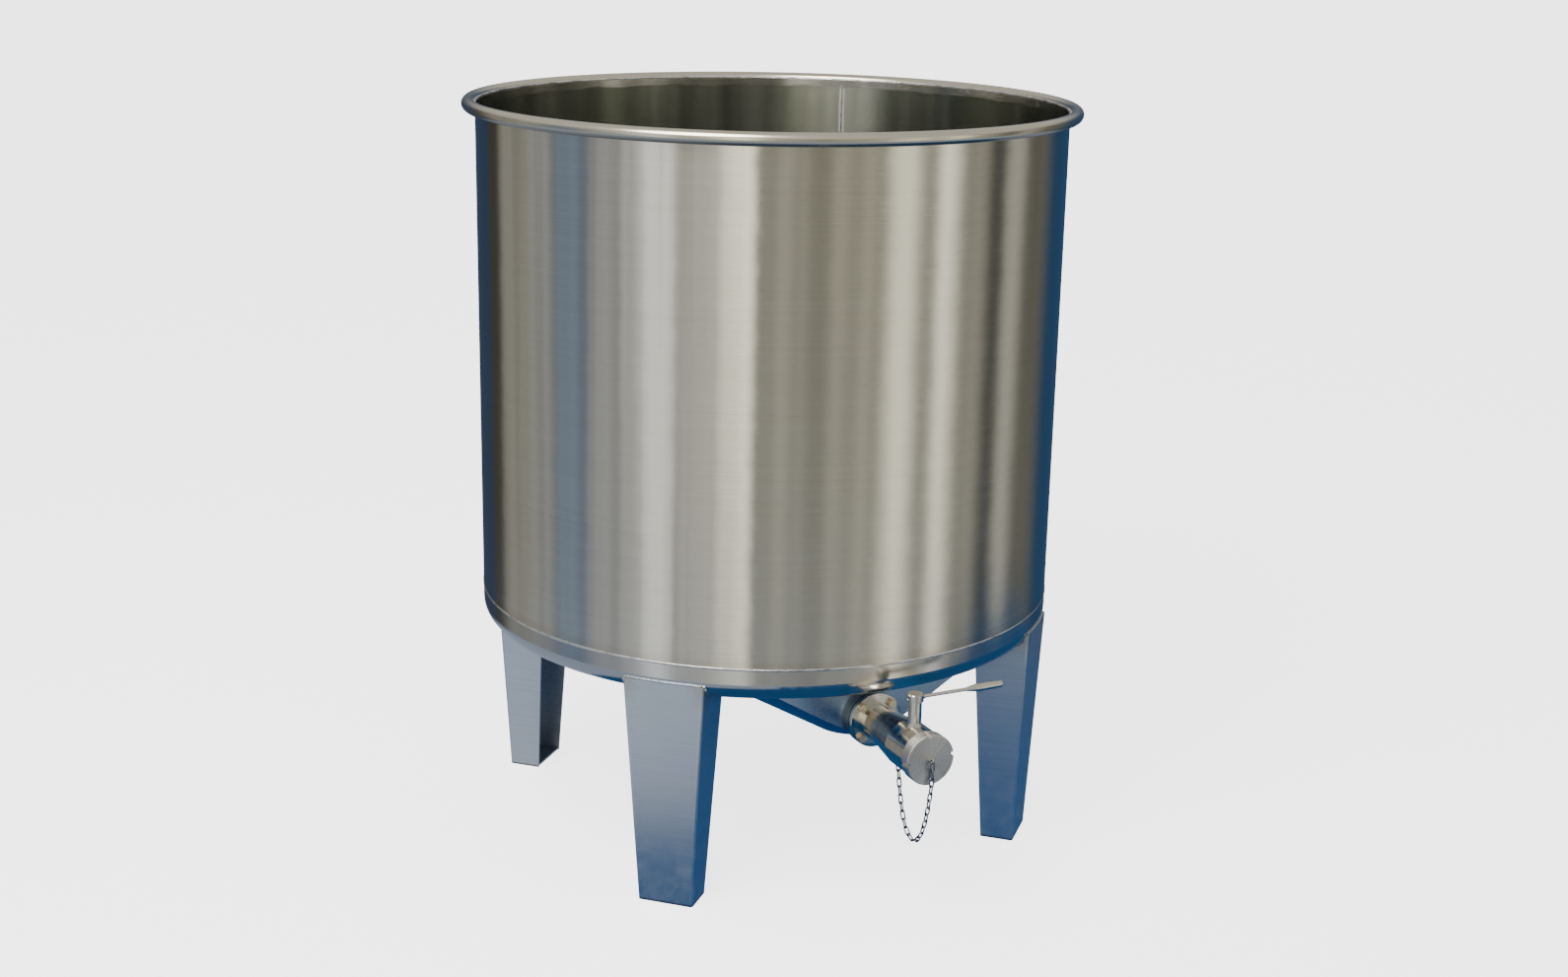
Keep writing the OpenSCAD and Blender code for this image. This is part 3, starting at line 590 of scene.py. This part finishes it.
# %% Give each engineering part its finish
WEAR = {
    brushed_sheet: ["tank_shell"],
    pressed_sheet: ["tank_bottom"],
    polished_tube: ["rim_tube"],
    leg_sheet: ["leg_front_left", "leg_front_right", "leg_rear_left", "leg_rear_right",
                "foot_plates"],
    weld_steel: ["rim_weld", "shell_seam_weld", "bottom_weld", "leg_welds", "outlet_weld"],
    turned_steel: ["outlet_pipe", "outlet_flange", "end_piece", "chain_anchor", "cap_eyelet"],
    buffed_steel: ["valve_body"],
    nut_steel: ["cap_nut"],
    upright_steel: ["valve_stem", "lever_hub"],
    lever_steel: ["lever_rod", "lever_grip", "hub_screw"],
    ball_steel: ["valve_ball"],
    screw_steel: ["flange_bolts", "flange_washers"],
    white_ptfe: ["rear_seat", "front_seat", "stem_bushing", "flange_gasket"],
    black_rubber: ["end_oring", "stem_orings", "cap_gasket"],
    chain_steel: ["cap_chain"],
}
for finish, names in WEAR.items():
    for name in names:
        cad[name].data.materials.clear()
        cad[name].data.materials.append(finish)
print("dressed", sum(len(names) for names in WEAR.values()), "of", len(cad), "parts")

# %% [markdown]
# ## Helpers for modelling
# An operator acts on all that is selected, so each piece starts with nothing selected. Once
# shaped, a piece is given its smooth shading, its finish and the body it moves with.

# %% Start a piece, pick its points, and place it
def start_clean():
    bpy.ops.object.select_all(action="DESELECT")

def pick(piece, wanted):
    """In edit mode, selects the points whose place passes the test."""
    bpy.ops.object.mode_set(mode="EDIT")
    bpy.ops.mesh.select_mode(type="VERT")
    bpy.ops.mesh.select_all(action="DESELECT")
    bpy.ops.object.mode_set(mode="OBJECT")
    for point in piece.data.vertices:
        point.select = bool(wanted(point.co))
    bpy.ops.object.mode_set(mode="EDIT")

def settle():
    """Gives the object's place, turn and size to its mesh."""
    bpy.ops.object.mode_set(mode="OBJECT")
    bpy.ops.object.transform_apply(location=True, rotation=True, scale=True)

def join_up(pieces):
    """Joins the pieces to the first of them."""
    start_clean()
    for piece in pieces:
        piece.select_set(True)
    bpy.context.view_layer.objects.active = pieces[0]
    bpy.ops.object.join()

def tidy_mesh():
    """Merges doubled points and turns every face outwards."""
    bpy.ops.object.mode_set(mode="EDIT")
    bpy.ops.mesh.select_all(action="SELECT")
    bpy.ops.mesh.remove_doubles(threshold=0.00001)
    bpy.ops.mesh.normals_make_consistent(inside=False)
    bpy.ops.object.mode_set(mode="OBJECT")

def hand_over(piece, name, finish, slot, body, *stands_for, angle=40):
    """Names a shaped piece and says its finish, its body and the parts it stands for; slot is not
    used.
    """
    piece.name = piece.data.name = name
    piece.data.materials.clear()
    piece.data.materials.append(finish)
    start_clean()
    piece.select_set(True)
    bpy.context.view_layer.objects.active = piece
    bpy.ops.object.shade_smooth_by_angle(angle=math.radians(angle))
    if stands_for:
        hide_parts(*stands_for)
    if body:
        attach(piece, body)
    print(name, len(piece.data.polygons), "faces")
    return piece

print("helpers for modelling ready")

# %% [markdown]
# ## Weld beads
# A real bead is a row of small frozen ripples, never quite even. A bead round the tank is an
# oval profile spun round the axis; the one along the upright seam is a flattened rod cut
# into short lengths. A Displace modifier with a cloud texture then roughens each, and is
# applied, so the ripples are real shape. The beads at the legs follow awkward edges, so the
# model's own solids are copied, remeshed finely and roughened in the same way.

# %% Roughen a bead
ripple = bpy.data.textures.new("weld_ripple", "CLOUDS")
ripple.noise_scale, ripple.noise_depth = 0.0035, 2

def roughen(piece, depth):
    bpy.context.view_layer.objects.active = piece
    bumps = piece.modifiers.new("ripples", "DISPLACE")
    bumps.texture, bumps.texture_coords = ripple, "LOCAL"
    bumps.strength, bumps.mid_level = depth, 0.5
    bpy.ops.object.modifier_apply(modifier="ripples")

print("ripples", ripple.noise_scale * 1000, "mm wide")

# %% Beads round the tank
BEAD_STEPS = 1800
OUTER_BEAD, INNER_BEAD = 0.5001, 0.4979     # radii of the beads on the sheet's two sides
SHEET_BEAD = (0.0006, 0.0019, 0.0006)
# radius, height, how far it stands out, half its height, its ripples, the part it replaces
BEADS = {
    "rim_bead_inside": (0.4999, 1.2586, 0.0021, 0.0021, 0.0016, "rim_weld"),
    "rim_bead_outside": (0.5009, 1.2524, 0.0013, 0.0017, 0.0008),
    "bottom_bead_outside": (OUTER_BEAD, SEAM_Z, *SHEET_BEAD, "bottom_weld"),
    "bottom_bead_inside": (INNER_BEAD, SEAM_Z, *SHEET_BEAD),
}

def spun_bead(name, radius, height, proud, half_height, ripples, *stands_for):
    start_clean()
    bpy.ops.mesh.primitive_circle_add(vertices=8, radius=1, location=(radius, 0, height),
                                      rotation=(math.pi / 2, 0, 0))
    bead = bpy.context.object
    bead.scale = (proud, half_height, 1)
    settle()
    bpy.ops.object.mode_set(mode="EDIT")
    bpy.ops.mesh.select_all(action="SELECT")
    bpy.ops.mesh.spin(steps=BEAD_STEPS, angle=math.tau, center=(0, 0, 0), axis=(0, 0, 1))
    tidy_mesh()
    roughen(bead, ripples)
    return hand_over(bead, name, weld_steel, "weld", "tank", *stands_for)

for name, shape in BEADS.items():
    spun_bead(name, *shape)

# %% The upright seam, inside and out
SEAM_PROUD, SEAM_HALF_WIDTH, SEAM_RIPPLES, SEAM_CUTS = 0.00045, 0.0019, 0.0005, 400
low_end, high_end = (corner.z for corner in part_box("shell_seam_weld"))
seam_sides = []
for radius in (OUTER_BEAD, INNER_BEAD):
    start_clean()
    bpy.ops.mesh.primitive_cylinder_add(vertices=10, radius=1, depth=high_end - low_end,
                                        location=(radius, 0, (low_end + high_end) / 2))
    side = bpy.context.object
    side.scale = (SEAM_PROUD, SEAM_HALF_WIDTH, 1)
    settle()
    bpy.ops.object.mode_set(mode="EDIT")
    bpy.ops.mesh.select_mode(type="EDGE")
    bpy.ops.mesh.select_all(action="DESELECT")
    bpy.ops.object.mode_set(mode="OBJECT")
    for edge in side.data.edges:
        a, b = (side.data.vertices[i].co for i in edge.vertices)
        edge.select = abs(a.z - b.z) > 0.1          # the long edges only
    bpy.ops.object.mode_set(mode="EDIT")
    bpy.ops.mesh.subdivide(number_cuts=SEAM_CUTS)
    bpy.ops.object.mode_set(mode="OBJECT")
    side.rotation_euler = (0, 0, SEAM_ANGLE)
    settle()
    roughen(side, SEAM_RIPPLES)
    seam_sides.append(side)
join_up(seam_sides)
hand_over(bpy.context.object, "upright_seam_beads", weld_steel, "weld", "tank",
          "shell_seam_weld")

# %% Beads at the legs
GRAIN, LEG_RIPPLES = 0.0007, 0.0012
start_clean()
leg_beads = cad["leg_welds"].copy()
leg_beads.data = cad["leg_welds"].data.copy()
leg_beads.parent = None
for note in ("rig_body", "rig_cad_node"):      # the copy is a piece, no longer a model's part
    del leg_beads[note]
bpy.context.scene.collection.objects.link(leg_beads)
leg_beads.select_set(True)
bpy.context.view_layer.objects.active = leg_beads
tidy_mesh()
fine = leg_beads.modifiers.new("fine", "REMESH")
fine.mode, fine.voxel_size = "VOXEL", GRAIN
bpy.ops.object.modifier_apply(modifier="fine")
roughen(leg_beads, LEG_RIPPLES)
hand_over(leg_beads, "leg_beads", leg_sheet, "weld", "tank", "leg_welds", angle=60)

# %% [markdown]
# ## The round thread
# A dairy union has a coarse round thread that a brush can clean. On the end piece it stands
# out as a rounded ridge wound round the outlet, and the blank nut carries the matching ridge
# inside, half a turn's travel further on, so that the two pass each other as the nut comes
# off. The plain part is a profile drawn point by point and spun; each ridge is a small
# profile wound by a Screw modifier with the thread's own pitch, its two ends then closed.

# %% The turned end piece
# Its profile, in millimetres: how far out along the outlet, and the radius there. It runs
# from the bore's inner end over the O-ring's groove and the thread's core to the outer end.
END_PROFILE = [(584, 24.3), (584, 34.6), (584.4, 35), (587.5, 35), (587.5, 33.2),
               (589.7, 33.2), (589.7, 35), (593.2, 35), (593.6, 34.6), (593.6, 29),
               (594.6, 28.2), (606.9, 28.2), (607.7, 27.4), (608, 26.9), (608, 24.7),
               (607.6, 24.3)]

def spun_profile(points):
    """A closed profile, spun round the outlet's axis."""
    start_clean()
    place = [Vector((radius / 1000, -out / 1000, OUTLET_Z)) for out, radius in points]
    bpy.ops.mesh.primitive_plane_add(size=0.001, location=place[0])
    turned_part = bpy.context.object
    settle()
    bpy.ops.object.mode_set(mode="EDIT")
    bpy.ops.mesh.select_all(action="SELECT")
    bpy.ops.mesh.merge(type="CENTER")
    for before, after in zip(place, place[1:]):
        bpy.ops.mesh.extrude_region_move(TRANSFORM_OT_translate={"value": after - before})
    pick(turned_part, lambda co: min((co - place[0]).length, (co - place[-1]).length) < 1e-6)
    bpy.ops.mesh.edge_face_add()
    bpy.ops.mesh.select_all(action="SELECT")
    bpy.ops.mesh.spin(steps=128, angle=math.tau, center=(0, 0, OUTLET_Z), axis=(0, 1, 0))
    tidy_mesh()
    return turned_part

core = spun_profile(END_PROFILE)
print("end piece core", len(core.data.polygons), "faces")

# %% A wound ridge
PITCH = 0.0254 / 6                # metres: six turns to the inch
RIDGE_HALF_WIDTH = 0.00115

def wound_ridge(start, turns, foot, crest):
    """A ridge from the radius foot to the radius crest, wound round the outlet."""
    start_clean()
    side = 1 if crest > foot else -1
    bpy.ops.mesh.primitive_circle_add(vertices=12, radius=1, fill_type="NOTHING",
                                      location=(0, 0, 0))
    ridge = bpy.context.object
    ridge.scale = (abs(crest - foot) / 1000, RIDGE_HALF_WIDTH, 1)
    settle()
    pick(ridge, lambda co: co.x * side < -1e-6)
    bpy.ops.mesh.delete(type="VERT")
    pick(ridge, lambda co: abs(co.x) < 1e-6)
    bpy.ops.mesh.edge_face_add()
    bpy.ops.object.mode_set(mode="OBJECT")
    ridge.location = (foot / 1000, 0, 0)
    settle()
    winding = ridge.modifiers.new("winding", "SCREW")
    winding.axis, winding.angle, winding.screw_offset = "Y", math.tau * turns, -PITCH * turns
    winding.steps = winding.render_steps = round(96 * turns)
    winding.iterations = 1
    bpy.ops.object.modifier_apply(modifier="winding")
    ridge.location = (0, -start / 1000, OUTLET_Z)
    settle()
    bpy.ops.object.mode_set(mode="EDIT")
    bpy.ops.mesh.select_all(action="DESELECT")
    bpy.ops.mesh.select_mode(type="EDGE")
    bpy.ops.mesh.select_non_manifold()
    bpy.ops.mesh.edge_face_add()
    tidy_mesh()
    return ridge

print("one turn of the thread takes", round(PITCH * 1000, 3), "mm")

# %% The thread on the end piece and the one in the nut
THREAD_START = 596.3              # millimetres out along the outlet
outer_ridge = wound_ridge(THREAD_START, turns=2.25, foot=28.1, crest=29.9)
joined = core.modifiers.new("with_ridge", "BOOLEAN")
joined.operation, joined.solver, joined.object = "UNION", "EXACT", outer_ridge
start_clean()
core.select_set(True)
bpy.context.view_layer.objects.active = core
bpy.ops.object.modifier_apply(modifier="with_ridge")
bpy.data.objects.remove(outer_ridge)
hand_over(core, "threaded_end", turned_steel, "turned", "tank", "end_piece", angle=35)
nut_ridge = wound_ridge(THREAD_START + PITCH * 500, turns=1.75, foot=30.2, crest=28.5)
hand_over(nut_ridge, "nut_thread", nut_steel, "turned", "cap", angle=35)

# %% [markdown]
# ## The chain
# The blank nut hangs on a welded-link chain, so that it can't be lost. One link is made from
# a ring: its two halves are pulled apart to make the straight sides, and the middle of one
# side is thickened where the link was butt-welded. The links stand in turn across and along
# a hanging curve, worked out from the chain's length, and each copy has its own mesh. Joined,
# they bend between the tank and the nut's swivel.

# %% The hanging curve, with lengths in millimetres
LINKS, LINK_INSIDE, LINK_WIDE, WIRE = 23, 13.8, 9, 2.4
LINK_STEP = LINK_INSIDE - 0.5
ANCHOR, EYELET = (512, 260.453), (621.5, OUTLET_Z * 1000)
FIRST_LINK, LAST_LINK = 9.0, 9.2      # from the eye's centre to the middle of its link
DROP = 3 * LINK_STEP                  # the straight part in front of the nut
hang_wide, hang_rise = EYELET[0] - ANCHOR[0], EYELET[1] - DROP - ANCHOR[1]
hang_long = FIRST_LINK + (LINKS - 1) * LINK_STEP + LAST_LINK - DROP
span = math.sqrt(hang_long ** 2 - hang_rise ** 2)
shallow, deep = 8.0, 200.0            # halved until the curve is as long as the chain
for _ in range(60):
    sag = (shallow + deep) / 2
    if 2 * sag * math.sinh(hang_wide / (2 * sag)) > span:
        shallow = sag
    else:
        deep = sag
middle = sag * math.asinh(hang_rise / (2 * sag * math.sinh(hang_wide / (2 * sag))))
low_y = (ANCHOR[0] + EYELET[0]) / 2 - middle
low_z = ANCHOR[1] - sag * math.cosh((ANCHOR[0] - low_y) / sag)
behind = sag * math.sinh((ANCHOR[0] - low_y) / sag)

def on_chain(length):
    """(distance out, height) on the curve, at that length from the anchor."""
    if length > hang_long:
        return EYELET[0], EYELET[1] - DROP + length - hang_long
    out = low_y + sag * math.asinh((behind + length) / sag)
    return out, low_z + sag * math.cosh((out - low_y) / sag)

print("lowest point of the chain", round(low_z + sag, 1), "mm above the floor")

# %% One link
JOINT_CUT, JOINT_REACH, JOINT_SWELL = 0.0008, 0.0007, 1.16
start_clean()
bend = (LINK_WIDE - WIRE) / 2000
bpy.ops.mesh.primitive_torus_add(major_segments=28, minor_segments=12, major_radius=bend,
                                 minor_radius=WIRE / 2000, rotation=(math.pi / 2, 0, 0))
link = bpy.context.object
settle()
half = (LINK_INSIDE + WIRE) / 2000 - bend
for sign in (1, -1):
    pick(link, lambda co: co.z * sign > 1e-6)
    bpy.ops.transform.translate(value=(0, 0, sign * half))
pick(link, lambda co: abs(co.z) < 1e-6 and co.x > 0)
bpy.ops.mesh.bevel(offset=JOINT_CUT, segments=2)
pick(link, lambda co: abs(co.z) < JOINT_REACH and co.x > 0)
bpy.ops.transform.resize(value=(JOINT_SWELL, JOINT_SWELL, 1), center_override=(bend, 0, 0))
bpy.ops.object.mode_set(mode="OBJECT")
print("link", [round(side * 1000, 2) for side in link.dimensions], "mm")

# %% The links along the curve
links = []
for i in range(LINKS):
    (y0, z0), (y1, z1) = (on_chain(FIRST_LINK + (i + part) * LINK_STEP) for part in (-0.5, 0.5))
    copy = link.copy()
    copy.data = link.data.copy()
    bpy.context.scene.collection.objects.link(copy)
    copy.matrix_world = (Matrix.Translation((0, -(y0 + y1) / 2000, (z0 + z1) / 2000))
                         @ Matrix.Rotation(math.atan2(y1 - y0, z1 - z0), 4, "X")
                         @ Matrix.Rotation(math.pi / 2 * (i % 2), 4, "Z"))
    links.append(copy)
bpy.data.objects.remove(link)
join_up(links)
settle()
chain = hand_over(bpy.context.object, "nut_chain", chain_steel, "fixings", None, "cap_chain")
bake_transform(chain)
